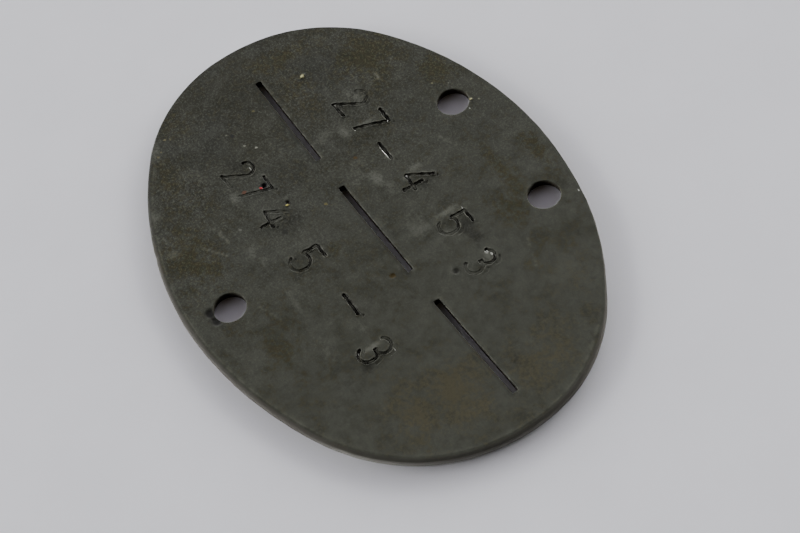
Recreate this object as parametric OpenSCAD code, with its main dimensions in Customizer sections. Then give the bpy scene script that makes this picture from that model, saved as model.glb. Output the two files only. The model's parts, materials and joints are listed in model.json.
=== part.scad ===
// Identification tag: an oval zinc plate, punched with three holes and a row of slits along
// which it is snapped in two, and struck with a row of numerals on each half.
// The plate lies flat with its struck face up. X runs along the row of slits, Y points to the
// half with two holes, and the origin is on the lower face under the middle of the oval.

/* [Plate] */
// Length of the oval, along the row of slits
plate_l = 70; // [66:0.5:76]
// Width of the oval, across the row of slits
plate_w = 50; // [47:0.5:54]
// Radius of the arcs at the two ends of the oval
end_r = 20.6; // [19.5:0.1:22]
// Thickness of the sheet
sheet_t = 1; // [0.8:0.1:1.5]
// Radius of the rolled edge round the struck face
roll_r = 0.3; // [0.1:0.05:0.4]
// Radius of the small break round the lower face
break_r = 0.1; // [0.05:0.05:0.2]

/* [Cord holes] */
// Bore of the two holes that take the neck cord
cord_hole_d = 4.1; // [3:0.1:5]
// Distance between the centres of the two cord holes
cord_hole_pitch = 19; // [14:0.5:24]
// Distance from the long edge in to the line of the cord holes
cord_hole_inset = 5.9; // [4:0.1:8]
// Angle of the line of the cord holes to the length of the oval
cord_hole_turn = 2.7; // [-4:0.1:4]

/* [Tie hole] */
// Bore of the single hole in the half that is snapped off
tie_hole_d = 4.1; // [3:0.1:5]
// Distance from the long edge in to the centre of the single hole
tie_hole_inset = 5.55; // [4:0.05:8]

/* [Slits] */
// Number of slits in the row
slit_count = 3; // [2:1:5]
// Width of a slit
slit_w = 0.8; // [0.5:0.1:1.5]
// Length of the bridge left between two slits
bridge_l = 5.4; // [3:0.1:8]
// Mean length of plate left past the row at its two ends
end_land = 5.9; // [4:0.05:9]
// Shift of the row along the plate, from where the punch was set off centre
row_shift_x = 0.95; // [-2:0.05:2]
// Shift of the row across the plate
row_shift_y = 0.6; // [-2:0.05:2]
// Angle of the row to the length of the oval
row_turn = 1.1; // [-3:0.05:3]
// Rise of the two outer slits above the line of the middle of the row
row_bow = 0.2; // [0:0.05:1]

/* [Numerals] */
// Height of a struck numeral
numeral_h = 4.2; // [3:0.1:5]
// Width of the groove that the punch leaves
stroke_w = 0.4; // [0.2:0.05:0.6]
// Depth of the deepest numerals
strike_depth = 0.2; // [0.1:0.05:0.3]
// Distance from the middle of the plate to the middle of each row of numerals
numeral_row_y = 8.5; // [6:0.1:12]

/* [Hidden] */
$fn = 96;
ZINC = "#50524b";
CUT_PAST = 1; // how far a cutter runs past the face that it leaves
ROLL_FACETS = 3; // flat steps in the rolled edge
END_SWELL = 1.1; // width of a stroke's round ends over the stroke's own
FAN_SIDES = 4; // sides of the fan that cuts an arc out of a ring
JOINT_PROUD = 0.02; // what the end discs have over end_r, so that the arcs cross at a clear angle

// The oval has four arcs: two end arcs of radius end_r, and two side arcs that meet them in line
half_l = plate_l / 2;
half_w = plate_w / 2;
end_cx = half_l - end_r;
spare_w = half_w - end_r;
side_cy = (end_cx ^ 2 - spare_w ^ 2) / (2 * spare_w);
side_r = half_w + side_cy;
side_half_angle = atan2(end_cx, side_cy);

slit_l = (plate_l - 2 * end_land - (slit_count - 1) * bridge_l) / slit_count;
slit_pitch = slit_l + bridge_l;

// Columns of the numerals' tables: place along the plate as a share of half_l, sign, size as a
// share of numeral_h, lift as a share of numeral_h, lean in degrees, depth as a share of strike_depth
PLACE = 0;
SIGN = 1;
SIZE = 2;
LIFT = 3;
LEAN = 4;
DEPTH = 5;
upper_numerals = [
    [-0.505, "2", 1, 0, 3, 0.8],
    [-0.38, "7", 1, 0.02, -2, 1],
    [-0.235, "-", 1, -0.18, 0, 1],
    [-0.06, "4", 1, 0, -3, 1],
    [0.18, "5", 0.95, 0.03, 1, 0.7],
    [0.37, "3", 0.95, -0.1, 6, 0.6],
];
lower_numerals = [
    [-0.48, "2", 0.95, -0.06, 4, 0.7],
    [-0.38, "7", 0.95, 0, 0, 0.6],
    [-0.235, "4", 1, 0.02, -4, 0.6],
    [-0.01, "5", 1, 0, 2, 0.7],
    [0.245, "-", 1.1, 0.24, 0, 1],
    [0.45, "3", 1, 0, -2, 0.8],
];

// Strokes of each sign in a cell one unit high, centred on the origin.
// A straight stroke is [x, y, x, y] and a round one is [x, y, radius, from, to].
function strokes(sign) =
    sign == "2" ? [[0, 0.24, 0.26, -35, 165], [0.21, 0.09, -0.27, -0.5], [-0.27, -0.5, 0.29, -0.5]]
    : sign == "3" ? [[-0.02, 0.24, 0.25, -90, 150], [-0.02, -0.23, 0.27, -150, 90]]
    : sign == "4" ? [[0.1, 0.5, -0.3, -0.2], [-0.3, -0.2, 0.3, -0.2], [0.14, 0.1, 0.14, -0.5]]
    : sign == "5" ? [[0.25, 0.5, -0.2, 0.5], [-0.2, 0.5, -0.23, 0.05], [-0.02, -0.2, 0.3, -150, 130]]
    : sign == "7" ? [[-0.28, 0.5, 0.28, 0.5], [0.28, 0.5, -0.08, -0.5]]
    : [[-0.36, 0, 0.36, 0]];

module stroke_end(at, width) {
    translate(at) circle(d = width * END_SWELL);
}

module straight_stroke(from, to, width) {
    run = to - from;
    translate(from) rotate(atan2(run[1], run[0])) translate([0, -width / 2]) square([norm(run), width]);
    for (end = [from, to]) stroke_end(end, width);
}

module round_stroke(centre, radius, from, to, width) {
    // corners of a fan that covers the arc and nothing past its ends
    fan = [for (i = [0:FAN_SIDES])
        let (a = from + (to - from) * i / FAN_SIDES)
        2 * (radius + width) * [cos(a), sin(a)]];
    translate(centre) intersection() {
        difference() {
            circle(radius + width / 2);
            circle(radius - width / 2);
        }
        polygon(concat([[0, 0]], fan));
    }
    for (a = [from, to]) stroke_end(centre + radius * [cos(a), sin(a)], width);
}

module sign_shape(sign, height) {
    for (s = strokes(sign))
        if (len(s) == 4) straight_stroke(height * [s[0], s[1]], height * [s[2], s[3]], stroke_w);
        else round_stroke(height * [s[0], s[1]], height * s[2], s[3], s[4], stroke_w);
}

// Grooves of one row of numerals, struck into the upper face
module struck_row(numerals, row_y) {
    for (n = numerals) {
        depth = n[DEPTH] * strike_depth;
        translate([n[PLACE] * half_l, row_y + n[LIFT] * numeral_h, sheet_t - depth])
            rotate(n[LEAN]) linear_extrude(depth + CUT_PAST) sign_shape(n[SIGN], n[SIZE] * numeral_h);
    }
}

// Section of a disc from its axis out to its rim, with the rolled edge above in short facets
// and the break below in one
module rim_section(rim) {
    roll = [for (i = [0:ROLL_FACETS])
        let (a = 90 * i / ROLL_FACETS)
        [rim - roll_r * (1 - cos(a)), sheet_t - roll_r * (1 - sin(a))]];
    polygon(concat([[0, 0], [rim - break_r, 0], [rim, break_r]], roll, [[0, sheet_t]]));
}

module rim_disc(x, y, rim) {
    translate([x, y, 0]) rotate_extrude() rim_section(rim);
}

module oval_plate() {
    joint_x = end_cx + end_r * sin(side_half_angle);
    intersection() {
        rim_disc(0, -side_cy, side_r);
        rim_disc(0, side_cy, side_r);
        translate([-joint_x, -plate_w, -CUT_PAST])
            cube([2 * joint_x, 2 * plate_w, sheet_t + 2 * CUT_PAST]);
    }
    for (side = [-1, 1]) rim_disc(side * (end_cx - JOINT_PROUD), 0, end_r + JOINT_PROUD);
}

module round_hole(x, y, d) {
    translate([x, y, -CUT_PAST]) cylinder(d = d, h = sheet_t + 2 * CUT_PAST);
}

module cord_holes() {
    translate([0, half_w - cord_hole_inset, 0]) rotate(cord_hole_turn)
        for (side = [-1, 1]) round_hole(side * cord_hole_pitch / 2, 0, cord_hole_d);
}

module tie_hole() {
    round_hole(0, tie_hole_inset - half_w, tie_hole_d);
}

// Each slit stands on a shallow curve that rises by row_bow at the outermost slits
module slit_row() {
    outermost = slit_pitch * (slit_count - 1) / 2;
    translate([row_shift_x, row_shift_y, 0]) rotate(row_turn)
        for (i = [0:slit_count - 1]) {
            x = i * slit_pitch - outermost;
            rise = row_bow * (x / outermost) ^ 2;
            lean = atan(2 * row_bow * x / outermost ^ 2);
            translate([x, rise, 0]) rotate(lean)
                translate([-slit_l / 2, -slit_w / 2, -CUT_PAST])
                cube([slit_l, slit_w, sheet_t + 2 * CUT_PAST]);
        }
}

module tag() {
    color(ZINC) difference() {
        oval_plate();
        cord_holes();
        tie_hole();
        slit_row();
        struck_row(upper_numerals, numeral_row_y);
        struck_row(lower_numerals, -numeral_row_y);
    }
}

tag();
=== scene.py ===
import json
import math

import bmesh
import bpy
import numpy as np
from mathutils import Matrix, Vector
from mathutils.geometry import delaunay_2d_cdt


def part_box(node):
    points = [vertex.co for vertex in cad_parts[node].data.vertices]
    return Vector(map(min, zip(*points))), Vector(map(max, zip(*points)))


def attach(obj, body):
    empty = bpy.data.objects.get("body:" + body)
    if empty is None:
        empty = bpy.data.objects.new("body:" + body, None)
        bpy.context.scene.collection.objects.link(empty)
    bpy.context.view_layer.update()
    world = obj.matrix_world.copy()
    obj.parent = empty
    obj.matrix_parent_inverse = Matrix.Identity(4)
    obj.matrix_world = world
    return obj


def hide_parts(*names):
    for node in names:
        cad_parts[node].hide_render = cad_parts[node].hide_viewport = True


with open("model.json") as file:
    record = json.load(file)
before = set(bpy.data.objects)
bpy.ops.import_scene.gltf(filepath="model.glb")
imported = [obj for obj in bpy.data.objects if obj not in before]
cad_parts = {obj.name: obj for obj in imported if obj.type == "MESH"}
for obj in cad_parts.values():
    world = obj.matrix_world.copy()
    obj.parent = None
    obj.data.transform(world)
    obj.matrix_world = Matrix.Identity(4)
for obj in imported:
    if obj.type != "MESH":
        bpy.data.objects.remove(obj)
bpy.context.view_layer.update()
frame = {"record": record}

# Lengths are in millimetres here, and the mesh is scaled to metres at the end
MM = 0.001

# Plate, with its overall sizes from the frame
low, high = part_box("tag")
HALF_L = (high.x - low.x) / 2 / MM
HALF_W = (high.y - low.y) / 2 / MM
SHEET_T = (high.z - low.z) / MM
END_R = 20.6
END_CX = HALF_L - END_R
SPARE_W = HALF_W - END_R
SIDE_CY = (END_CX ** 2 - SPARE_W ** 2) / (2 * SPARE_W)
SIDE_R = HALF_W + SIDE_CY
SIDE_HALF_ANGLE = math.atan2(END_CX, SIDE_CY)
RIGHT_LIFT = 0.12
LIFT_FROM = 12

# Rolled upper edge, wide round one direction and narrow away from it, and the break below.
# Directions from the middle of the plate are in degrees.
ROLL_R = 0.3
NARROW_ROLL = 0.14
WIDE_ROLL = 0.5
BREAK_R = 0.1
WIDE_SIDE = -60
# Sides round which the wall and roll are painted paler, partly bare cut metal and partly painted light on the
# side away from the lamps
PALE_EDGE_SIDE = -30
PALEST_EDGE_SIDE = -18
PALE_ROLL_SIDE = 12
RIDGE_DEPTH = 0.72

# Row of slits
SLIT_COUNT = 3
SLIT_W = 0.8
BRIDGE_L = 5.4
END_LAND = 5.9
ROW_SHIFT = np.array([0.95, 0.6])
ROW_TURN = math.radians(1.1)
ROW_BOW = 0.2
SLIT_L = (2 * HALF_L - 2 * END_LAND - (SLIT_COUNT - 1) * BRIDGE_L) / SLIT_COUNT
SLIT_CORNER = 0.12

# Struck numerals. Columns: place along the plate as a share of HALF_L, sign, size and lift as
# shares of NUMERAL_H, lean in degrees, depth as a share of STRIKE_DEPTH, direction in degrees in
# which the punch dug deepest, and how uneven the strike is
NUMERAL_H = 4.2
NUMERAL_ROW_Y = 8.5
STROKE_W = 0.4
STRIKE_DEPTH = 0.2
BOUNCE = np.array([0.5, 0.32])
BOUNCE_SHARE = 0.3
UPPER_NUMERALS = [
    (-0.505, "2", 1, 0, 3, 0.8, -60, 1.0),
    (-0.38, "7", 1, 0.02, -2, 1, 90, 0.4),
    (-0.235, "-", 1, -0.18, 0, 1, 180, 0.3),
    (-0.06, "4", 1, 0, -3, 1, 70, 0.5),
    (0.18, "5", 0.95, 0.03, 1, 0.7, 100, 0.8),
    (0.37, "3", 0.95, -0.1, 6, 0.6, 120, 0.9),
]
LOWER_NUMERALS = [
    (-0.48, "2", 0.95, -0.06, 4, 0.7, 160, 1.0),
    (-0.38, "7", 0.95, 0, 0, 0.6, 90, 1.0),
    (-0.235, "4", 1, 0.02, -4, 0.6, -60, 1.0),
    (-0.01, "5", 1, 0, 2, 0.7, 130, 0.7),
    (0.245, "-", 1.1, 0.24, 0, 1, 0, 0.2),
    (0.45, "3", 1, 0, -2, 0.8, -60, 0.7),
]

# Strokes of each sign in a cell one unit high, centred on the origin.
# A straight stroke is (x, y, x, y) and a round one is (x, y, radius, from, to).
STROKES = {
    "2": [(0, 0.24, 0.26, -35, 165), (0.21, 0.09, -0.27, -0.5), (-0.27, -0.5, 0.29, -0.5)],
    "3": [(-0.02, 0.24, 0.25, -90, 150), (-0.02, -0.23, 0.27, -150, 90)],
    "4": [(0.1, 0.5, -0.3, -0.2), (-0.3, -0.2, 0.3, -0.2), (0.14, 0.1, 0.14, -0.5)],
    "5": [(0.25, 0.5, -0.2, 0.5), (-0.2, 0.5, -0.23, 0.05), (-0.02, -0.2, 0.3, -150, 130)],
    "7": [(-0.28, 0.5, 0.28, 0.5), (0.28, 0.5, -0.08, -0.5)],
    "-": [(-0.36, 0, 0.36, 0)],
}

# The tables below give places on the plate, from its middle

# Pits, columns: x, y, radius, depth
PITS = [
    (0.83, -21.62, 0.6, 0.1),
    (0.1, -21.75, 0.45, 0.05),
    (-0.72, -21.8, 0.6, 0.08),
    (-13.1, -7.2, 0.35, 0.16),
    (-9.1, -6.1, 0.25, 0.1),
    (12.3, 5.0, 0.4, 0.06),
    (8.2, -1.4, 0.3, 0.04),
]

# Raised flecks of dirt and burr, columns: x, y, radius, height
FLECKS = [
    (-25.4, 5.7, 0.32, 0.07),
    (-25.2, 5.35, 0.2, 0.05),
    (-8.35, 20.75, 0.16, 0.08),
    (-8.0, 20.4, 0.12, 0.05),
    (-13.0, -7.75, 0.2, 0.06),
    (-8.7, -6.35, 0.18, 0.06),
]

# Mounds and hollows that the strikes left in the sheet, columns: x, y, radius along x, radius
# along y, height
SWELLS = [
    (-18.0, 7.6, 1.6, 1.4, 0.05),
    (-14.2, 4.9, 1.4, 1.0, 0.05),
    (-12.9, 8.2, 0.9, 2.0, 0.06),
    (-8.2, 7.6, 1.6, 0.7, -0.03),
    (-4.6, 4.7, 1.6, 1.0, 0.06),
    (-2.4, 8.4, 1.3, 2.0, 0.08),
    (5.3, 8.4, 1.1, 2.2, 0.09),
    (4.9, 5.2, 1.6, 1.2, 0.05),
    (12.9, 8.4, 1.2, 2.0, 0.05),
    (-16.8, -8.8, 2.2, 1.8, -0.06),
    (-13.2, -11.2, 1.6, 0.8, 0.06),
    (-8.2, -8.6, 1.6, 1.8, 0.05),
    (-4.5, -13.4, 2.6, 0.8, 0.04),
    (-1.8, -8.8, 1.1, 2.2, 0.05),
    (3.8, -12.6, 2.2, 0.7, 0.05),
    (11.8, -9.6, 1.4, 1.6, 0.04),
    (16.0, -8.8, 1.1, 1.9, 0.07),
]

# Patches of olive and brown stain, columns: x, y, radius along x, radius along y, strength
STAINS = [
    (-23.0, 13.6, 4.6, 4.0, 0.9),
    (-15.0, 19.8, 3.0, 1.9, 0.8),
    (-30.0, 5.0, 2.0, 4.6, 0.68),
    (-24.4, 3.8, 4.0, 2.0, 0.75),
    (-28.0, -11.6, 3.0, 2.4, 0.6),
    (-19.0, -16.0, 6.0, 3.4, 0.5),
    (-9.0, -19.8, 6.6, 3.0, 0.7),
    (-4.0, -21.8, 3.0, 1.6, 0.5),
    (9.0, -17.6, 8.0, 4.0, 0.35),
    (26.4, -3.6, 4.8, 3.2, 0.8),
    (25.6, -9.4, 4.6, 2.8, 0.65),
    (28.4, 7.0, 3.6, 5.0, 0.55),
    (20.0, 16.0, 6.0, 3.0, 0.3),
    (3.6, 22.6, 3.6, 1.4, 0.75),
    (4.0, 17.6, 4.0, 1.3, 0.85),
    (8.8, 15.4, 2.2, 1.9, 0.9),
    (-1.4, 12.4, 1.2, 1.0, 0.5),
    (17.0, 12.8, 1.3, 1.3, 0.5),
    (0.8, -4.8, 1.6, 0.9, 0.4),
    (-6.6, -4.0, 1.2, 0.8, 0.4),
]

# Patches of pale haze and of painted highlight on the lit slopes of the mounds and by the rim, columns as for
# the stains
HAZES_AND_HIGHLIGHTS = [
    (-19.4, 8.7, 1.3, 0.5, 0.55),
    (-17.9, 9.3, 0.9, 0.6, 0.6),
    (-13.6, 8.3, 0.4, 1.7, 0.6),
    (-14.0, 5.0, 1.2, 0.7, 0.75),
    (-14.6, 2.6, 2.2, 1.4, 0.4),
    (-7.8, 7.2, 1.0, 0.4, 0.3),
    (-3.9, 9.3, 0.6, 1.2, 0.7),
    (-3.0, 7.5, 0.6, 1.0, 0.7),
    (-5.1, 4.7, 1.5, 0.8, 0.85),
    (-3.2, 5.3, 1.2, 0.9, 0.5),
    (-6.3, 2.3, 1.0, 1.0, 0.4),
    (4.3, 8.6, 0.5, 2.0, 0.7),
    (4.6, 4.7, 1.5, 1.2, 0.65),
    (6.8, 6.6, 0.9, 1.2, 0.45),
    (12.0, 4.8, 0.9, 0.8, 0.5),
    (12.5, 9.3, 1.0, 0.5, 1.0),
    (-13.7, -11.3, 1.4, 0.6, 0.75),
    (-11.4, -8.0, 0.5, 2.2, 0.4),
    (-9.8, -6.0, 0.6, 0.8, 0.4),
    (-16.5, -3.0, 2.6, 1.6, 0.3),
    (-2.9, -9.0, 0.5, 2.2, 0.45),
    (-5.4, -13.4, 1.6, 0.8, 0.5),
    (-3.4, -12.9, 1.4, 0.7, 0.45),
    (3.8, -12.8, 2.2, 0.5, 0.55),
    (12.4, -8.2, 0.5, 0.5, 0.6),
    (15.1, -8.6, 0.4, 1.4, 0.8),
    (12.5, -13.0, 2.4, 1.2, 0.4),
    (-26.5, -16.0, 2.2, 1.3, 0.7),
    (-18.0, -20.6, 1.8, 0.9, 0.6),
    (-11.0, -21.3, 0.8, 0.9, 0.6),
    (-9.0, 4.0, 1.8, 1.6, 0.4),
    (-29.5, 10.5, 1.4, 2.4, 0.35),
    (-24.5, 18.0, 2.4, 1.2, 0.3),
]

# Patches of dark tarnish and of painted shade on the shaded slopes of the mounds, columns as for the stains
SHADES = [
    (-17.4, 6.6, 1.6, 1.2, 0.5),
    (-12.2, 9.2, 0.5, 1.4, 0.4),
    (-8.2, 6.5, 1.2, 0.5, 0.3),
    (-1.2, 9.0, 0.9, 2.6, 0.45),
    (7.6, 9.6, 1.8, 1.2, 0.8),
    (9.6, 9.6, 1.3, 1.0, 0.75),
    (14.2, 6.2, 0.5, 0.7, 0.5),
    (-17.6, -8.6, 1.8, 1.4, 0.68),
    (-23.0, -10.0, 1.2, 1.2, 0.5),
    (-6.2, -7.2, 1.6, 2.0, 0.75),
    (0.2, -7.2, 1.4, 0.8, 0.45),
    (1.6, -11.0, 0.7, 0.8, 0.45),
    (11.6, -10.9, 1.4, 0.6, 0.4),
    (17.3, -10.3, 0.9, 0.8, 0.7),
    (26.8, 3.6, 1.2, 1.0, 0.5),
    (8.8, 21.5, 2.2, 2.0, 0.45),
    (3.5, 22.6, 2.5, 1.2, 0.28),
    (8.8, 15.4, 2.0, 1.6, 0.2),
    (4.0, 18.0, 4.0, 2.0, 0.18),
    (-22.4, 15.4, 1.6, 1.2, 0.3),
    (-14.5, -20.0, 1.4, 1.0, 0.3),
    (-19.0, -15.0, 3.0, 2.0, 0.35),
    (8.2, -22.4, 4.0, 1.2, 0.4),
    (12.0, -1.0, 2.4, 1.2, 0.35),
    (18.0, -14.0, 3.4, 2.0, 0.3),
]

# Bright bare metal and painted highlights, columns: x, y, radius along x, radius along y, strength
GLINTS = [
    (-8.1, 7.48, 1.5, 0.07, 0.75),
    (-1.7, 10.45, 0.22, 0.2, 1.0),
    (-3.3, 7.75, 0.26, 0.14, 0.9),
    (12.2, 9.4, 0.42, 0.36, 0.55),
    (12.8, 9.75, 0.5, 0.26, 0.5),
    (13.3, 10.0, 0.4, 0.2, 0.44),
    (-12.3, 10.5, 0.24, 0.12, 0.8),
    (-18.6, 6.45, 0.3, 0.12, 0.6),
    (-13.4, 6.4, 0.16, 0.16, 0.5),
    (5.0, 10.6, 0.4, 0.1, 0.5),
    (-16.6, -7.3, 0.5, 0.1, 0.6),
    (-9.5, -9.3, 0.3, 0.12, 0.4),
    (0.6, -6.4, 0.5, 0.1, 0.4),
    (15.0, -10.3, 0.3, 0.2, 0.5),
    (17.0, -6.6, 0.4, 0.12, 0.5),
    (-7.3, 19.75, 0.16, 0.12, 0.7),
    (11.5, 23.2, 0.24, 0.1, 0.8),
]

# Fine scratches, columns: x and y of one end, then of the other, and strength
SCRATCHES = [
    (-20.3, 13.1, -18.1, 13.4, 0.9),
    (-19.0, 13.2, -18.6, 12.2, 0.5),
    (-11.5, -15.5, -9.5, -15.3, 0.9),
    (-9.9, -18.2, -6.7, -16.0, 0.6),
    (-10.9, -15.1, -8.5, -15.0, 0.6),
    (-13.0, -18.6, -11.2, -17.6, 0.5),
    (-21.6, -12.4, -18.4, -13.6, 0.4),
    (2.0, -16.6, 5.4, -15.2, 0.3),
    (13.6, 14.4, 17.4, 13.0, 0.3),
    (-6.2, 14.2, -3.4, 15.2, 0.35),
]

# Single spots of dirt, paint and bare metal, columns: x, y, radius, red, green, blue
SPOTS = [
    (-25.35, 5.55, 0.34, 178, 174, 130),
    (-20.2, -6.1, 0.2, 120, 120, 110),
    (-19.0, -5.0, 0.2, 150, 150, 140),
    (-23.2, -7.2, 0.18, 112, 112, 102),
    (-22.6, -6.6, 0.34, 40, 40, 40),
    (-24.4, -2.4, 0.22, 94, 90, 64),
    (-27.6, -13.9, 0.2, 112, 106, 78),
    (-27.2, -13.3, 0.16, 104, 98, 72),
    (-25.6, -15.9, 0.22, 100, 94, 70),
    (-26.1, -15.2, 0.15, 104, 98, 72),
    (-13.7, 18.2, 0.18, 118, 116, 92),
    (-12.4, 19.9, 0.14, 104, 104, 98),
    (-7.8, 21.5, 0.14, 120, 118, 104),
    (-8.4, 20.7, 0.2, 178, 172, 130),
    (-9.7, 4.15, 0.3, 78, 62, 38),
    (-13.2, -7.15, 0.5, 12, 10, 12),
    (-13.05, -7.7, 0.24, 150, 10, 22),
    (-13.8, -9.7, 0.36, 92, 64, 52),
    (-8.95, -6.1, 0.34, 26, 22, 16),
    (-8.75, -6.35, 0.2, 190, 178, 96),
    (-5.4, -8.6, 0.5, 46, 46, 42),
    (-5.9, -2.4, 0.24, 104, 96, 60),
    (-9.1, -12.9, 0.22, 100, 100, 94),
    (8.15, -1.4, 0.5, 60, 50, 24),
    (0.85, -21.66, 0.62, 27, 26, 24),
    (-0.72, -21.84, 0.62, 27, 26, 24),
]

# Sharp nicks in the rolled edge, columns: x, y, radius, depth
NICKS = [
    (17.3, 20.3, 0.7, 0.2),
    (31.0, 9.6, 0.5, 0.08),
    (-30.6, -10.6, 0.6, 0.1),
    (-12.0, -23.2, 0.6, 0.1),
]

# Where the outline bulges past the true oval, or falls short of it where the height is below 0.
# Columns: x, y, radius, height
BULGES = [
    (22.5, -19.0, 10.0, 0.4),
    (-3.0, -25.0, 10.0, 0.16),
    (17.0, 21.5, 7.0, 0.2),
    (33.5, 8.0, 5.0, 0.12),
    (-29.0, 14.5, 5.0, -0.12),
    (-34.5, -5.0, 4.0, 0.08),
]

# Grid steps of the upper face near the strokes, round them and elsewhere, and of the lower face
FINE_STEP = 0.065
MIDDLE_STEP = 0.16
COARSE_STEP = 0.32
UNDER_STEP = 0.7

# How far from the strokes the two closer grids reach, and how clear of an edge all grids keep
FINE_REACH = 0.36
MIDDLE_REACH = 1.0
RIM_REACH = 0.4
HOLE_REACH = 0.2
SLIT_REACH = 0.16

# Numbers of steps along the outlines of the plate, the holes and the slits
END_STEPS = 168
SIDE_STEPS = 220
HOLE_STEPS = 96
SLIT_STEPS = 60
SLIT_END_STEPS = 4
CORNER_STEPS = 4

# Rings of the rim from above: insets of those on the flat, angles of those on the roll, and inset
# and share of the thickness of those on the wall
FLAT_INSETS = (0.37, 0.29, 0.22, 0.15, 0.08, 0)
ROLL_ANGLES = (72, 54, 36, 18, 0)
RIM_WALL = ((0, 0.52), (0.015, 0.34), (0.005, 0.1), (0.03, 0.04), (BREAK_R, 0))

# Rings of a hole from above: growth of the outline, drop and share of the face's relief of those on
# the worn edge, and growth and share of the thickness of those on the wall
HOLE_EDGE = ((0.14, 0, 1), (0.1, 0, 1), (0.05, 0.012, 0.9), (0.015, 0.04, 0.7), (0, 0.09, 0.5))
HOLE_WALL = ((-0.01, 0.5), (0.01, 0.2), (0.05, 0))

# Camera
CAMERA_TARGET = Vector((7.267, 0.129, 0.5)) * MM
CAMERA_DISTANCE = 216.78 * MM
CAMERA_AZIMUTH = math.radians(-19.727)
CAMERA_ELEVATION = math.radians(55.279)
CAMERA_ROLL = math.radians(-14.844)
CAMERA_LENS = 81.68

# Light: two bands of sky by the sine of the height at which each fades out and is full
WINDOW_AZIMUTH = math.radians(168.7)
POST_AZIMUTH = math.radians(181)
LOW_SKY = (9.55, 9.6, 9.7)
LOW_SKY_ENDS = (0.338, 0.243)
HIGH_SKY = (0.72, 0.685, 0.79)
HIGH_SKY_ENDS = (0.92, 0.2)
ROOM_LIGHT = (0.017, 0.012, 0.007)

# What the patina's tones are scaled by, so that they show as given in this light
PATINA_SHARE = (0.885, 0.9, 0.845)

# Floor slab, in metres, and the two tones of its faint clouds
FLOOR_WIDTH = 4.0
FLOOR_DEPTH = 0.1
FLOOR_TONES = ((236, 237, 240), (239, 240, 243))


def waves(points, length, seed, count=14):
    """A smooth random height at each point, about one high, with bumps about length across."""
    rng = np.random.default_rng(seed)
    total = np.zeros(len(points))
    for _ in range(count):
        angle = rng.uniform(0, 2 * math.pi)
        pace = 2 * math.pi / (length * rng.uniform(0.7, 1.6))
        run = points @ (pace * np.array([math.cos(angle), math.sin(angle)]))
        total += np.sin(run + rng.uniform(0, 2 * math.pi))
    return total / math.sqrt(count / 2)


def patches(points, table):
    """The strongest of a table of soft oval patches at each point."""
    strongest = np.zeros(len(points))
    for x, y, reach_x, reach_y, strength in table:
        away = (points - (x, y)) / (reach_x, reach_y)
        strongest = np.maximum(strongest, strength * np.exp(-(away ** 2).sum(1)))
    return strongest


def dabs(points, table, sharp=2.0):
    """The sum of a table of round dabs at each point."""
    total = np.zeros(len(points))
    for x, y, radius, height in table:
        away = np.linalg.norm(points - (x, y), axis=1) / radius
        total += height * np.exp(-away ** (2 * sharp))
    return total


def rise(values, low_end, high_end):
    """A smooth step from 0 to 1 between two values."""
    share = np.clip((values - low_end) / (high_end - low_end), 0, 1)
    return share * share * (3 - 2 * share)


def swells(points):
    """Mounds and hollows of the sheet at each point."""
    total = np.zeros(len(points))
    for x, y, reach_x, reach_y, height in SWELLS:
        away = (points - (x, y)) / (reach_x, reach_y)
        total += height * np.exp(-(away ** 2).sum(1))
    return total


def edge_shift(points):
    """How far in the real edge lies from the true oval, near each point."""
    uneven = 0.015 * waves(points, 11, 7) + 0.007 * waves(points, 2.4, 8)
    dented = 0.05 + np.clip(uneven, -0.05, 0.05) + dabs(points, NICKS, sharp=1)
    return dented - dabs(points, BULGES, sharp=1)


def rim_depth(points):
    """How far inside the real edge each point lies."""
    x = np.abs(points[:, 0])
    y = np.abs(points[:, 1])
    to_end = END_R - np.hypot(x - END_CX, y)
    to_side = SIDE_R - np.hypot(x, y + SIDE_CY)
    past_joint = np.arctan2(x, y + SIDE_CY) > SIDE_HALF_ANGLE
    return np.where(past_joint, to_end, to_side) - edge_shift(points)


def off_way(points, way):
    """By how many degrees each point lies off a direction from the middle of the plate."""
    bearing = np.degrees(np.arctan2(points[:, 1], points[:, 0]))
    return np.abs((bearing - way + 180) % 360 - 180)


def roll_width(points):
    """How far in the rolled edge starts: wide and soft on one side, narrow on the other."""
    return NARROW_ROLL + (WIDE_ROLL - NARROW_ROLL) * rise(off_way(points, WIDE_SIDE), 110, 70)


def turned(points, angle):
    """Points turned about the origin by an angle in radians."""
    c = math.cos(angle)
    s = math.sin(angle)
    return points @ np.array([[c, s], [-s, c]])


def slit_frames():
    """The centre and angle of each slit."""
    pitch = SLIT_L + BRIDGE_L
    outermost = pitch * (SLIT_COUNT - 1) / 2
    found = []
    for i in range(SLIT_COUNT):
        x = i * pitch - outermost
        centre = np.array([[x, ROW_BOW * (x / outermost) ** 2]])
        lean = math.atan(2 * ROW_BOW * x / outermost ** 2)
        found.append((turned(centre, ROW_TURN)[0] + ROW_SHIFT, ROW_TURN + lean))
    return found


def holes():
    """The centre and radius of each round hole, from the record's bores."""
    bores = [m for m in frame["record"]["mounts"] if m["kind"] == "bore"]
    return [(np.array(m["pos_m"][:2]) / MM, m["dims"]["r_mm"]) for m in bores]


HOLES = holes()
SLITS = slit_frames()


def hole_gap(points):
    """Distance from each point to the nearest round hole's wall."""
    return np.min([np.linalg.norm(points - c, axis=1) - r for c, r in HOLES], axis=0)


def slit_gap(points):
    """Distance from each point to the nearest slit's wall."""
    gaps = []
    for centre, angle in SLITS:
        local = np.abs(turned(points - centre, -angle)) - (SLIT_L / 2, SLIT_W / 2)
        outside = np.linalg.norm(np.maximum(local, 0), axis=1)
        gaps.append(outside + np.minimum(local.max(1), 0))
    return np.min(gaps, axis=0)


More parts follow.
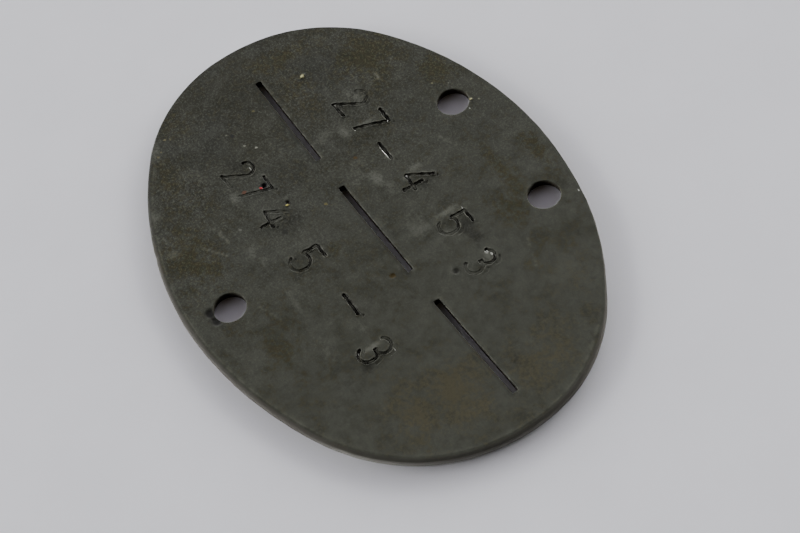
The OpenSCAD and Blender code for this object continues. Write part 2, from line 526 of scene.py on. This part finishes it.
def slit_side(points):
    """How far each point lies on the +Y side of the row of slits' centreline."""
    across = [turned(points - centre, -angle)[:, 1] for centre, angle in SLITS]
    along = [np.abs(turned(points - centre, -angle)[:, 0]) for centre, angle in SLITS]
    nearest = np.argmin(along, axis=0)
    return np.array(across)[nearest, np.arange(len(points))]


def to_straight(points, start, end):
    """Distance from each point to a straight stroke's centreline."""
    start = np.array(start)
    run = np.array(end) - start
    share = np.clip((points - start) @ run / (run @ run), 0, 1)
    return np.linalg.norm(points - start - share[:, None] * run, axis=1)


def to_round(points, centre, radius, start, end):
    """Distance from each point to a round stroke's centreline."""
    offset = points - centre
    past_start = (np.degrees(np.arctan2(offset[:, 1], offset[:, 0])) - start) % 360
    on_arc = np.abs(np.linalg.norm(offset, axis=1) - radius)
    to_tips = []
    for a in np.radians([start, end]):
        tip = radius * np.array([math.cos(a), math.sin(a)])
        to_tips.append(np.linalg.norm(offset - tip, axis=1))
    return np.where(past_start <= end - start, on_arc, np.min(to_tips, axis=0))


def to_sign(points, sign):
    """Distance from each point of a sign's own cell to its nearest stroke."""
    found = []
    for s in STROKES[sign]:
        if len(s) == 4:
            found.append(to_straight(points, s[:2], s[2:]))
        else:
            found.append(to_round(points, s[:2], *s[2:]))
    return np.min(found, axis=0)


def struck(points):
    """For each point, the distance to the nearest stroke and how deep that stroke was struck."""
    nearest = np.full(len(points), 99.0)
    depth = np.zeros(len(points))
    patchy = waves(points, 1.5, 11)
    points = points + 0.025 * np.stack([waves(points, 0.9, 14), waves(points, 0.9, 15)], axis=1)
    for row_y, table in ((NUMERAL_ROW_Y, UPPER_NUMERALS), (-NUMERAL_ROW_Y, LOWER_NUMERALS)):
        for place, sign, size, lift, lean, share, dig, uneven in table:
            height = size * NUMERAL_H
            centre = np.array([place * HALF_L, row_y + lift * NUMERAL_H])
            near = np.flatnonzero(np.linalg.norm(points - centre, axis=1) < height)
            dig_way = (math.cos(math.radians(dig)), math.sin(math.radians(dig)))
            for shift, strength in ((0 * BOUNCE, 1), (BOUNCE, BOUNCE_SHARE)):
                local = turned(points[near] - centre - shift, -math.radians(lean)) / height
                gap = to_sign(local, sign) * height
                deep = np.clip(1 - uneven * (0.3 - 1.1 * (local @ dig_way)), 0.2, 1.15)
                deep *= np.clip(0.95 + 0.45 * uneven * patchy[near], 0.35, 1.25)
                deep *= share * strength
                stronger = cut(gap, deep) > cut(nearest[near], depth[near])
                nearest[near[stronger]] = gap[stronger]
                depth[near[stronger]] = deep[stronger]
    return nearest, depth


def cut(gap, depth):
    """How strongly a stroke shows at a point, which settles which of two strokes is kept."""
    return depth * np.exp(-gap / STROKE_W)


def groove(gap, depth):
    """Height of the grooves, deepest along their edges, and of the lips that they threw up."""
    half = STROKE_W / 2
    inside = rise(gap, half, 0.7 * half)
    edges = np.exp(-((gap - 0.82 * half) / 0.05) ** 2)
    lip = np.exp(-((gap - half - 0.07) / 0.07) ** 2)
    return STRIKE_DEPTH * depth * (0.16 * lip - 0.55 * inside - 0.45 * edges)


def warp(points):
    """How far the whole sheet is lifted at each point, where it is bent a little."""
    return RIGHT_LIFT * np.clip((points[:, 0] - LIFT_FROM) / (HALF_L - LIFT_FROM), 0, 1) ** 2


def upper_relief(points):
    """Height of the upper face's details over its flat."""
    gap, depth = struck(points)
    wear = 0.01 * waves(points, 9, 1) + 0.004 * waves(points, 3.2, 2) + 0.0012 * waves(points, 1.1, 3)
    ridge = 0.014 * np.exp(-((rim_depth(points) - 0.75) / 0.16) ** 2)
    ridge *= rise(roll_width(points), 0.2, 0.45)
    raised = groove(gap, depth) + swells(points) + wear + ridge
    return raised - dabs(points, PITS) + dabs(points, FLECKS)


def under_relief(points):
    """Height of the lower face, where the strikes stand out softly on the reverse."""
    gap, depth = struck(points)
    ghost = 0.022 * depth * np.exp(-(gap / 0.45) ** 2)
    return 0.03 + 0.006 * waves(points, 8, 5) - ghost


def oval_loop(roll_share, inset=0.0):
    """Points of the outline, moved in by a share of the roll and by an inset."""
    corner = math.pi / 2 - SIDE_HALF_ANGLE
    arcs = [
        (END_CX, 0, END_R, -corner, corner, END_STEPS),
        (0, -SIDE_CY, SIDE_R, corner, math.pi - corner, SIDE_STEPS),
        (-END_CX, 0, END_R, math.pi - corner, math.pi + corner, END_STEPS),
        (0, SIDE_CY, SIDE_R, math.pi + corner, 2 * math.pi - corner, SIDE_STEPS),
    ]
    points = []
    ways = []
    for x, y, radius, start, end, count in arcs:
        for i in range(count):
            a = start + (end - start) * i / count
            way = np.array([math.cos(a), math.sin(a)])
            ways.append(-way)
            points.append(np.array([x, y]) + radius * way)
    points = np.array(points)
    move = edge_shift(points) + roll_share * roll_width(points) + inset
    return points + move[:, None] * ways


def circle_loop(centre, radius):
    """Points of a circle."""
    angles = 2 * math.pi * np.arange(HOLE_STEPS) / HOLE_STEPS
    return centre + radius * np.stack([np.cos(angles), np.sin(angles)], axis=1)


def slit_loop(centre, angle, grow):
    """Points of a slit's outline, moved out by grow, with round corners."""
    radius = SLIT_CORNER + grow
    reach = np.array([SLIT_L / 2, SLIT_W / 2]) - SLIT_CORNER
    corners = [(1, 1), (-1, 1), (-1, -1), (1, -1)]
    steps = [SLIT_STEPS, SLIT_END_STEPS, SLIT_STEPS, SLIT_END_STEPS]
    points = []
    for i, corner in enumerate(corners):
        at = reach * corner
        for k in range(CORNER_STEPS + 1):
            a = math.pi / 2 * (i + k / CORNER_STEPS)
            points.append(at + radius * np.array([math.cos(a), math.sin(a)]))
        last = points[-1]
        following = reach * corners[(i + 1) % 4] + radius * np.array([math.cos(a), math.sin(a)])
        for k in range(1, steps[i]):
            points.append(last + (following - last) * k / steps[i])
    return turned(np.array(points), angle) + centre


def rim_rings():
    """Rings of the outer wall from the upper face down, as points, height and share of relief."""
    rings = [(oval_loop(1, inset), SHEET_T, 1) for inset in FLAT_INSETS]
    for a in np.radians(ROLL_ANGLES):
        rings.append((oval_loop(1 - math.cos(a)), SHEET_T - ROLL_R * (1 - math.sin(a)), math.sin(a)))
    rings += [(oval_loop(0, inset), share * SHEET_T, 0) for inset, share in RIM_WALL]
    return rings


def hole_rings(loop):
    """Rings of a hole's wall, where loop makes its outline a given amount wider."""
    rings = [(loop(grow), SHEET_T - drop, share) for grow, drop, share in HOLE_EDGE]
    rings += [(loop(grow), share * SHEET_T, 0) for grow, share in HOLE_WALL]
    return rings


def hex_grid(step):
    """Points of a triangular grid over the oval's box."""
    rows = np.arange(-HALF_W, HALF_W, step * math.sqrt(3) / 2)
    columns = np.arange(-HALF_L, HALF_L, step)
    x, y = np.meshgrid(columns, rows)
    x[1::2] += step / 2
    return np.stack([x.ravel(), y.ravel()], axis=1)


def feature_gap(points):
    """Distance from each point to the nearest stroke, pit or fleck."""
    found = [struck(points)[0]]
    for x, y, radius, _ in PITS + FLECKS:
        found.append(np.linalg.norm(points - (x, y), axis=1) - radius)
    return np.min(found, axis=0)


def free_points(points, step, rim):
    """Those points that keep clear of the outline and of all holes by about a step."""
    clear = rim_depth(points) > roll_width(points) + rim + 0.6 * step
    clear &= hole_gap(points) > HOLE_REACH + 0.6 * step
    return points[clear & (slit_gap(points) > SLIT_REACH + 0.6 * step)]


def upper_grid():
    """Inner points of the upper face, closest together near its details."""
    coarse = free_points(hex_grid(COARSE_STEP), COARSE_STEP, RIM_REACH)
    coarse = coarse[feature_gap(coarse) > MIDDLE_REACH]
    middle = free_points(hex_grid(MIDDLE_STEP), MIDDLE_STEP, RIM_REACH)
    gap = feature_gap(middle)
    middle = middle[(gap <= MIDDLE_REACH) & (gap > FINE_REACH)]
    fine = free_points(hex_grid(FINE_STEP), FINE_STEP, RIM_REACH)
    fine = fine[feature_gap(fine) <= FINE_REACH]
    return np.concatenate([coarse, middle, fine])


def filled(loops, inner):
    """Triangles that fill the first loop round the others, through the inner points."""
    points = np.concatenate([*loops, inner])
    edges = []
    first = 0
    for loop in loops:
        edges += [(first + i, first + (i + 1) % len(loop)) for i in range(len(loop))]
        first += len(loop)
    made = delaunay_2d_cdt([Vector(p) for p in points], edges, [], 1, 1e-6, False)
    # A triangle with all its corners on one inner loop lies in that loop's hole
    on_loop = np.zeros(len(points), dtype=int)
    first = len(loops[0])
    for i, loop in enumerate(loops[1:]):
        on_loop[first:first + len(loop)] = i + 1
        first += len(loop)
    faces = np.array(made[2])
    corners = on_loop[faces]
    in_hole = (corners[:, 0] > 0) & (corners == corners[:, :1]).all(1)
    # One whose corners run backwards along the first loop lies outside it, in a hollow
    backward = (np.roll(faces, -1, axis=1) < faces).sum(1) == 2
    in_hollow = (faces < len(loops[0])).all(1) & backward
    return points, faces[~(in_hole | in_hollow)].tolist()


def tag_mesh():
    """The plate's points and faces, and how far each point is part of a wall."""
    stacks = [rim_rings()]
    stacks += [hole_rings(lambda grow, c=c, r=r: circle_loop(c, r + grow)) for c, r in HOLES]
    stacks += [hole_rings(lambda grow, c=c, a=a: slit_loop(c, a, 0.7 * grow)) for c, a in SLITS]
    top, top_faces = filled([s[0][0] for s in stacks], upper_grid())
    under_inner = free_points(hex_grid(UNDER_STEP), UNDER_STEP, BREAK_R)
    under, under_faces = filled([s[-1][0] for s in stacks], under_inner)

    plan = [top]
    height = [SHEET_T + upper_relief(top)]
    faces = [tuple(f) for f in top_faces]
    wall = [np.zeros(len(top))]
    under_first = len(top)
    plan.append(under)
    height.append(under_relief(under))
    wall.append(np.zeros(len(under)))
    faces += [tuple(under_first + i for i in reversed(f)) for f in under_faces]
    following = under_first + len(under)
    loop_first = 0
    for stack in stacks:
        count = len(stack[0][0])
        above = np.arange(loop_first, loop_first + count)
        for points, z, share in stack[1:-1]:
            here = np.arange(following, following + count)
            plan.append(points)
            height.append(z + share * upper_relief(points))
            wall.append(np.full(count, 1 - share))
            faces += quads(above, here)
            above = here
            following += count
        faces += quads(above, np.arange(under_first + loop_first, under_first + loop_first + count))
        loop_first += count
    plan = np.concatenate(plan)
    height = np.concatenate(height)
    height += warp(plan)
    return np.column_stack([plan, height]), faces, np.concatenate(wall)


def quads(upper, lower):
    """Faces between two rings of as many points."""
    return list(zip(upper, lower, np.roll(lower, -1), np.roll(upper, -1)))


def paint(mesh, name, values):
    """Keeps one value for each point under a name that a material can read."""
    attribute = mesh.attributes.new(name, "FLOAT", "POINT")
    attribute.data.foreach_set("value", np.asarray(values, dtype=np.float32))


def strike_masks(plan):
    """Grime on the strokes' edges and floors, and bare metal on their floors and lips."""
    gap, depth = struck(plan)
    half = STROKE_W / 2
    shown = np.clip(1.35 * depth, 0, 1)
    bare = rise(waves(plan, 1.3, 12), -0.6, 0.8)
    edges = shown * np.exp(-((gap - 0.86 * half) / 0.05) ** 2)
    bed = 0.6 * shown * rise(gap, half, 0.6 * half) * (1 - bare)
    bottom = 0.5 * shown * rise(gap, 0.6 * half, 0.3 * half) * bare
    lip = 0.6 * shown * np.exp(-((gap - half - 0.06) / 0.07) ** 2) * rise(waves(plan, 0.9, 13), -0.2, 1)
    return edges, bed, bottom, lip


def slit_masks(plan):
    """Grime with painted shade along the slits' -Y edges, and wear with a painted highlight along their +Y
    edges.
    """
    upper_side = rise(slit_side(plan), 0, 0.2)
    beside = np.exp(-np.clip(slit_gap(plan) / 0.12, 0, 9) ** 2)
    # The -Y edge is painted darker as shade and the +Y edge lighter as a highlight
    return 0.75 * (1 - upper_side) * beside, 0.35 * upper_side * beside


def scratch_mask(plan):
    """The fine scratches."""
    lines = np.zeros(len(plan))
    for x, y, end_x, end_y, strength in SCRATCHES:
        away = to_straight(plan, (x, y), (end_x, end_y)) / 0.09
        lines = np.maximum(lines, strength * np.exp(-away ** 2))
    return lines


def rim_masks(plan, height):
    """The roll darkened as painted shade, the cut metal of the wall and roll with painted light on one side,
    its bare stretch with painted light growing towards the foot, and the worn ridge inside the roll with a
    painted highlight.
    """
    depth = rim_depth(plan)
    width = roll_width(plan)
    roll = rise(depth / width, 1.1, 0.7)
    wall = rise(depth, 0.06, 0.02)
    # Wall and roll away from the lamps painted paler: bare cut metal and painted light, lighter towards the
    # wall's foot
    pale_edge_side = rise(off_way(plan, PALE_EDGE_SIDE), 110, 80)
    palest_edge_side = rise(off_way(plan, PALEST_EDGE_SIDE), 30, 14)
    cut_edge_and_painted_light = pale_edge_side * np.maximum(wall, (0.7 - 0.25 * palest_edge_side) * roll)
    bare_wall_and_painted_light = wall * (0.4 + 0.6 * rise(height, 0.8 * SHEET_T, 0.1 * SHEET_T))
    bare_roll_and_painted_light = 0.15 * rise(depth, 0.35, 0.15) * rise(off_way(plan, PALE_ROLL_SIDE), 44, 20)
    bare_edge_and_painted_light = palest_edge_side * np.maximum(bare_wall_and_painted_light, bare_roll_and_painted_light)
    ridge = np.exp(-((depth - RIDGE_DEPTH) / 0.13) ** 2) * rise(width, 0.2, 0.45)
    return roll * (1 - pale_edge_side), cut_edge_and_painted_light, bare_edge_and_painted_light, 0.25 * ridge * (1 - palest_edge_side)


def masks(plan, height):
    """The painted masks of the patina by name, those of the upper face first."""
    edges, bed, bottom, lip = strike_masks(plan)
    slit_grime_and_shade, slit_wear_and_highlight = slit_masks(plan)
    painted_shade_roll, cut_edge_and_painted_light, bare_edge_and_painted_light, worn_ridge_and_highlight = rim_masks(plan, height)
    hole_wear = 0.12 * np.exp(-np.clip(hole_gap(plan) / 0.2, 0, 9) ** 2)
    pits = np.clip(14 * dabs(plan, PITS, sharp=1), 0, 0.9)
    lines = scratch_mask(plan)
    found = {
        # Grime in the strokes and pits, with painted shade along one edge of each slit
        "grime_and_shade": np.maximum.reduce([edges, bed, pits, slit_grime_and_shade]),
        # Dark tarnish and painted shade
        "shade": patches(plan, SHADES),
        # Worn metal, with painted highlights along one edge of each slit and on the ridge inside the roll
        "wear": np.maximum.reduce([bottom, lip, hole_wear, slit_wear_and_highlight, lines, worn_ridge_and_highlight]),
        # Bright bare metal and painted highlights
        "glint": patches(plan, GLINTS) * (1 - 0.8 * edges),
        # Pale haze and painted highlights
        "haze_and_highlight": patches(plan, HAZES_AND_HIGHLIGHTS),
        "stain": patches(plan, STAINS),
        # The roll on the side towards the lamps, darkened as painted shade
        "rim": painted_shade_roll,
    }
    upper = height > 0.5 * SHEET_T
    found = {name: np.where(upper, values, 0) for name, values in found.items()}
    # Cut metal and painted light on the walls' pale side
    found["cut_edge_and_painted_light"] = cut_edge_and_painted_light
    # Bare metal and painted light, lighter towards the wall's foot
    found["bare_edge_and_painted_light"] = bare_edge_and_painted_light
    return found


def build_tag():
    """The plate as one mesh, with its masks painted on."""
    points, faces, wall = tag_mesh()
    mesh = bpy.data.meshes.new("zinc_tag")
    mesh.from_pydata(points * MM, [], faces)
    for name, values in masks(points[:, :2], points[:, 2]).items():
        paint(mesh, name, values)
    paint(mesh, "wall", wall)
    mesh.polygons.foreach_set("use_smooth", np.ones(len(mesh.polygons), dtype=bool))
    made = bmesh.new()
    made.from_mesh(mesh)
    bmesh.ops.recalc_face_normals(made, faces=made.faces)
    made.to_mesh(mesh)
    made.free()
    piece = bpy.data.objects.new("zinc_tag", mesh)
    bpy.context.scene.collection.objects.link(piece)
    return piece


def tone(red, green, blue, shares=(1, 1, 1)):
    """A colour from its values in an image, from 0 to 255, with a share of the light of each."""
    parts = [v / 255 for v in (red, green, blue)]
    light = [v / 12.92 if v <= 0.04045 else ((v + 0.055) / 1.055) ** 2.4 for v in parts]
    return [share * v for share, v in zip(shares, light)] + [1]


def patina(red, green, blue):
    """A colour of the plate from the values that it shows in this light."""
    return tone(red, green, blue, PATINA_SHARE)


def new_material(name):
    """An empty material and its tree."""
    material = bpy.data.materials.new(name)
    material.use_nodes = True
    material.node_tree.nodes.clear()
    return material, material.node_tree


def add(tree, kind, inputs=None, **settings):
    """Adds a node, with its settings and with a value or a link for each input."""
    node = tree.nodes.new(kind)
    for name, value in settings.items():
        setattr(node, name, value)
    for name, value in (inputs or {}).items():
        if isinstance(value, bpy.types.NodeSocket):
            tree.links.new(value, node.inputs[name])
        else:
            node.inputs[name].default_value = value
    return node


def mixed(tree, share, first, second, way="MIX"):
    """One colour laid over another."""
    node = add(tree, "ShaderNodeMix", {0: share, 6: first, 7: second}, data_type="RGBA", blend_type=way)
    return node.outputs[2]


def spread(tree, value, low_end, high_end, to_low=0.0, to_high=1.0):
    """A value stretched from one range to another and kept inside it."""
    ends = {0: value, 1: low_end, 2: high_end, 3: to_low, 4: to_high}
    return add(tree, "ShaderNodeMapRange", ends, interpolation_type="SMOOTHSTEP").outputs[0]


def noise(tree, place, size_mm, detail=3.0, rough=0.55, warped=0.0):
    """Noise with bumps about size_mm across."""
    inputs = {"Vector": place, "Scale": 1 / (size_mm * MM), "Detail": detail, "Roughness": rough,
              "Distortion": warped}
    return add(tree, "ShaderNodeTexNoise", inputs).outputs[0]


def painted(tree, name):
    """A mask painted on the mesh."""
    return add(tree, "ShaderNodeAttribute", attribute_name=name).outputs["Fac"]


def spot(tree, place, x, y, radius):
    """A small uneven spot at one place on the plate."""
    flat = add(tree, "ShaderNodeVectorMath", {0: place, 1: (1, 1, 0)}, operation="MULTIPLY").outputs[0]
    away = add(tree, "ShaderNodeVectorMath", {0: flat, 1: (x * MM, y * MM, 0)}, operation="DISTANCE")
    return spread(tree, away.outputs["Value"], radius * MM, 0.5 * radius * MM)


def calc(tree, way, first, second):
    """A sum of two values, or what else way says."""
    return add(tree, "ShaderNodeMath", {0: first, 1: second}, operation=way).outputs[0]


def product(tree, *factors):
    """All factors multiplied."""
    total = factors[0]
    for factor in factors[1:]:
        total = calc(tree, "MULTIPLY", total, factor)
    return total


def total_of(tree, *terms):
    """All terms added."""
    total = terms[0]
    for term in terms[1:]:
        total = calc(tree, "ADD", total, term)
    return total


def shared_noises(tree, place):
    """The noises that the patina's layers share, by name."""
    return {
        "broad": noise(tree, place, 9, 3, 0.6),
        "cloud": noise(tree, place, 4.2, 3, 0.55),
        "drift": noise(tree, place, 2.8, 3, 0.55, 0.4),
        "blotch": noise(tree, place, 1.2, 2, 0.6),
        "grain": noise(tree, place, 0.34, 2, 0.7),
        "dust": noise(tree, place, 0.15, 2, 0.6),
        "hues": noise(tree, place, 0.57, 3, 0.6),
    }


def oxide(tree, along, noises):
    """Grey-green oxide in soft clouds and blotches, paler to the right."""
    drift = noises["drift"]
    blotch = noises["blotch"]
    colour = mixed(tree, spread(tree, noises["broad"], 0.38, 0.62), patina(48, 49, 43), patina(48, 48, 38))
    right = spread(tree, along, -32 * MM, 4 * MM)
    colour = mixed(tree, product(tree, right, 0.8), colour, patina(67, 68, 61))
    colour = mixed(tree, spread(tree, drift, 0.5, 0.66, 0, 0.45), colour, patina(44, 45, 38))
    colour = mixed(tree, spread(tree, drift, 0.5, 0.34, 0, 0.3), colour, patina(76, 77, 71))
    colour = mixed(tree, spread(tree, blotch, 0.5, 0.66, 0, 0.3), colour, patina(72, 73, 66))
    return mixed(tree, spread(tree, blotch, 0.5, 0.34, 0, 0.25), colour, patina(46, 47, 41))


def stained(tree, colour, along, noises):
    """Olive and brown stains over a colour, paler to the right, and their share."""
    rusty = total_of(
        tree, spread(tree, noises["drift"], 0.35, 0.65, 0, 0.45),
        spread(tree, noises["hues"], 0.35, 0.65, 0, 0.5), spread(tree, noises["grain"], 0.3, 0.7, 0, 0.3))
    share = spread(tree, calc(tree, "ADD", painted(tree, "stain"), rusty), 0.65, 1.6, 0, 0.85)
    brown = spread(tree, noises["hues"], 0.42, 0.58)
    stain = mixed(tree, brown, patina(46, 48, 28), patina(56, 51, 32))
    stain = mixed(tree, spread(tree, along, 10 * MM, 24 * MM), stain, patina(74, 70, 54))
    return mixed(tree, share, colour, stain), share


def haze_highlight_and_shade(tree, colour, noises):
    """Pale haze and painted highlights, and dark tarnish and painted shade, over a colour."""
    smudged = total_of(
        tree, spread(tree, noises["cloud"], 0.35, 0.65, 0, 0.2),
        spread(tree, noises["blotch"], 0.35, 0.65, 0, 0.15), spread(tree, noises["grain"], 0.3, 0.7, 0, 0.15))
    haze_and_highlight = spread(tree, calc(tree, "ADD", painted(tree, "haze_and_highlight"), smudged), 0.32, 1.25, 0, 0.75)
    # Pale haze, partly painted highlight on the slopes of the mounds turned to the lamps
    colour = mixed(tree, haze_and_highlight, colour, patina(98, 99, 92))
    unsmudged = calc(tree, "SUBTRACT", 0.5, smudged)
    shade = spread(tree, calc(tree, "ADD", painted(tree, "shade"), unsmudged), 0.4, 1.2, 0, 0.75)
    # Dark tarnish, partly painted shade on the slopes of the mounds turned from the lamps
    return mixed(tree, shade, colour, patina(34, 34, 29))


def specked(tree, colour, along, stain, noises):
    """Fine light and dark specks over a colour, stronger to the left."""
    speck = total_of(tree, product(tree, noises["grain"], 0.5), product(tree, noises["dust"], 0.5))
    strength = product(
        tree, spread(tree, along, -20 * MM, 22 * MM, 1.2, 0.17),
        spread(tree, painted(tree, "stain"), 0, 0.5, 0.8, 1.15))
    light_tone = mixed(tree, product(tree, stain, 1.1), patina(98, 99, 93), patina(90, 88, 60))
    light_speck = product(tree, strength, spread(tree, speck, 0.5, 0.64, 0, 0.5))
    dark_speck = product(tree, strength, spread(tree, speck, 0.5, 0.36, 0, 0.5))
    colour = mixed(tree, light_speck, colour, light_tone)
    return mixed(tree, dark_speck, colour, patina(30, 31, 26))


def edged(tree, colour, noises, wall):
    """Grime with painted shade along the slits, the tones of the walls with painted light on one side, and
    the roll darkened as painted shade, over a colour.
    """
    grime_and_shade = product(tree, painted(tree, "grime_and_shade"), spread(tree, noises["grain"], 0.2, 0.6, 0.6, 1))
    # Grime, with painted shade along one edge of each slit
    colour = mixed(tree, grime_and_shade, colour, patina(20, 18, 15))
    colour = mixed(tree, product(tree, wall, 0.85), colour, patina(44, 37, 33))
    # Paler walls and roll on one side: cut metal and painted light
    colour = mixed(tree, painted(tree, "cut_edge_and_painted_light"), colour, patina(84, 81, 77))
    # Palest walls: bare metal and painted light, lighter towards the foot
    colour = mixed(tree, painted(tree, "bare_edge_and_painted_light"), colour, patina(150, 148, 144))
    # The roll towards the lamps darkened: painted shade
    return mixed(tree, product(tree, painted(tree, "rim"), 0.6), colour, patina(36, 36, 32))


def worn_and_glinting(tree, colour, noises, wall):
    """Worn metal, and bright bare metal with painted highlights, over a colour, and the share of the bright.
    """
    off_wall = calc(tree, "SUBTRACT", 1.0, wall)
    wear = product(tree, painted(tree, "wear"), spread(tree, noises["blotch"], 0.3, 0.6), off_wall)
    # Worn metal, with painted highlights along one edge of each slit and on the ridge inside the roll
    colour = mixed(tree, product(tree, wear, 0.8), colour, patina(118, 118, 108))
    glint = product(tree, spread(tree, painted(tree, "glint"), 0.25, 0.6), off_wall)
    # Bright bare metal, partly painted highlight where it catches the lamps
    return mixed(tree, glint, colour, patina(205, 206, 200)), glint


def spotted(tree, colour, place, noises):
    """The single spots over a colour, with uneven edges."""
    nudge = product(tree, calc(tree, "SUBTRACT", noises["dust"], 0.5), 0.6 * MM)
    uneven = add(tree, "ShaderNodeVectorMath", {0: place, 1: nudge}, operation="ADD").outputs[0]
    for x, y, radius, red, green, blue in SPOTS:
        colour = mixed(tree, spot(tree, uneven, x, y, radius), colour, patina(red, green, blue))
    return colour


def zinc_material():
    """Dull grey-green patina with stains, haze, grime, fine grain and bare metal, and with painted
    highlights, painted shade and painted light.
    """
    material, tree = new_material("zinc_patina")
    place = add(tree, "ShaderNodeTexCoord").outputs["Object"]
    along = add(tree, "ShaderNodeSeparateXYZ", {0: place}).outputs[0]
    noises = shared_noises(tree, place)
    wall = spread(tree, painted(tree, "wall"), 0.3, 0.9)
    colour = oxide(tree, along, noises)
    colour, stain = stained(tree, colour, along, noises)
    colour = haze_highlight_and_shade(tree, colour, noises)
    colour = specked(tree, colour, along, stain, noises)
    colour = edged(tree, colour, noises, wall)
    colour, glint = worn_and_glinting(tree, colour, noises, wall)
    colour = spotted(tree, colour, place, noises)

    rough = spread(tree, noises["cloud"], 0.3, 0.7, 0.64, 0.76)
    rough = calc(tree, "SUBTRACT", rough, product(tree, glint, 0.35))
    relief = total_of(
        tree, noises["grain"], product(tree, noises["dust"], 0.5), product(tree, noises["blotch"], 0.8))
    bump = add(tree, "ShaderNodeBump", {"Strength": 0.3, "Distance": 0.012 * MM, "Height": relief})
    inputs = {
        "Base Color": colour,
        "Roughness": rough,
        "Normal": bump.outputs[0],
        "Metallic": product(tree, glint, 0.8),
        "Specular IOR Level": 0.08,
    }
    shader = add(tree, "ShaderNodeBsdfPrincipled", inputs)
    add(tree, "ShaderNodeOutputMaterial", {"Surface": shader.outputs[0]})
    return material


def floor_material():
    """Plain matt white surface with faint clouds."""
    material, tree = new_material("pale_floor")
    place = add(tree, "ShaderNodeTexCoord").outputs["Object"]
    cloud = noise(tree, place, 14, 3)
    first, second = [tone(*shown) for shown in FLOOR_TONES]
    colour = mixed(tree, spread(tree, cloud, 0.3, 0.7), first, second)
    inputs = {"Base Color": colour, "Roughness": 0.8, "Specular IOR Level": 0.2}
    shader = add(tree, "ShaderNodeBsdfPrincipled", inputs)
    add(tree, "ShaderNodeOutputMaterial", {"Surface": shader.outputs[0]})
    return material


def build_floor():
    """A slab whose upper face is at the level that the plate lies on."""
    mesh = bpy.data.meshes.new("floor")
    slab = bmesh.new()
    bmesh.ops.create_cube(slab, size=1)
    bmesh.ops.scale(slab, vec=(FLOOR_WIDTH, FLOOR_WIDTH, FLOOR_DEPTH), verts=slab.verts)
    bmesh.ops.translate(slab, vec=(0, 0, -FLOOR_DEPTH / 2), verts=slab.verts)
    slab.to_mesh(mesh)
    slab.free()
    floor = bpy.data.objects.new("floor", mesh)
    bpy.context.scene.collection.objects.link(floor)
    floor.data.materials.append(floor_material())


def direction(azimuth, elevation):
    """The way from the plate to something seen at these angles in radians."""
    level = math.cos(elevation)
    return Vector((level * math.cos(azimuth), level * math.sin(azimuth), math.sin(elevation)))


def aim(thing, place, target, roll):
    """Puts a thing at a place, looking at a target and rolled about that line."""
    look = (target - place).to_track_quat("-Z", "Y").to_matrix().to_4x4()
    thing.matrix_world = Matrix.Translation(place) @ look @ Matrix.Rotation(roll, 4, "Z")


def build_camera():
    """The camera, where the photograph was taken from."""
    data = bpy.data.cameras.new("camera")
    data.sensor_width = 36
    data.lens = CAMERA_LENS
    data.clip_start = 0.01
    camera = bpy.data.objects.new("camera", data)
    bpy.context.scene.collection.objects.link(camera)
    place = CAMERA_TARGET + CAMERA_DISTANCE * direction(CAMERA_AZIMUTH, CAMERA_ELEVATION)
    aim(camera, place, CAMERA_TARGET, CAMERA_ROLL)
    bpy.context.scene.camera = camera


def facing(tree, way, azimuth):
    """How nearly a level way points to an azimuth: 1 along it, 0 across it and -1 away from it."""
    inputs = {0: way, 1: direction(azimuth, 0)}
    return add(tree, "ShaderNodeVectorMath", inputs, operation="DOT_PRODUCT").outputs["Value"]


def light_studio():
    """Soft light from windows low on one side, with cooler light over it and a warm dim room."""
    world = bpy.data.worlds.new("studio")
    world.use_nodes = True
    tree = world.node_tree
    tree.nodes.clear()
    way = add(tree, "ShaderNodeTexCoord").outputs["Generated"]
    up = add(tree, "ShaderNodeSeparateXYZ", {0: way}).outputs[2]
    level = add(tree, "ShaderNodeVectorMath", {0: way, 1: (1, 1, 0)}, operation="MULTIPLY").outputs[0]
    level = add(tree, "ShaderNodeVectorMath", {0: level}, operation="NORMALIZE").outputs[0]
    windows = facing(tree, level, WINDOW_AZIMUTH)
    post = spread(tree, facing(tree, level, POST_AZIMUTH), 0.88, 0.985, 1, 0.5)
    around = product(tree, spread(tree, windows, -0.4, 0.43), calc(tree, "SUBTRACT", 2.8, windows), post)
    light = ROOM_LIGHT
    for sky, ends in ((LOW_SKY, LOW_SKY_ENDS), (HIGH_SKY, HIGH_SKY_ENDS)):
        share = product(tree, around, spread(tree, up, *ends))
        part = add(tree, "ShaderNodeVectorMath", {0: sky, "Scale": share}, operation="SCALE").outputs[0]
        light = add(tree, "ShaderNodeVectorMath", {0: light, 1: part}, operation="ADD").outputs[0]
    background = add(tree, "ShaderNodeBackground", {"Color": light, "Strength": 1.0})
    add(tree, "ShaderNodeOutputWorld", {"Surface": background.outputs[0]})
    bpy.context.scene.world = world


build_camera()
light_studio()
build_floor()
tag = build_tag()
tag.data.materials.append(zinc_material())
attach(tag, "root")
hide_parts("tag")
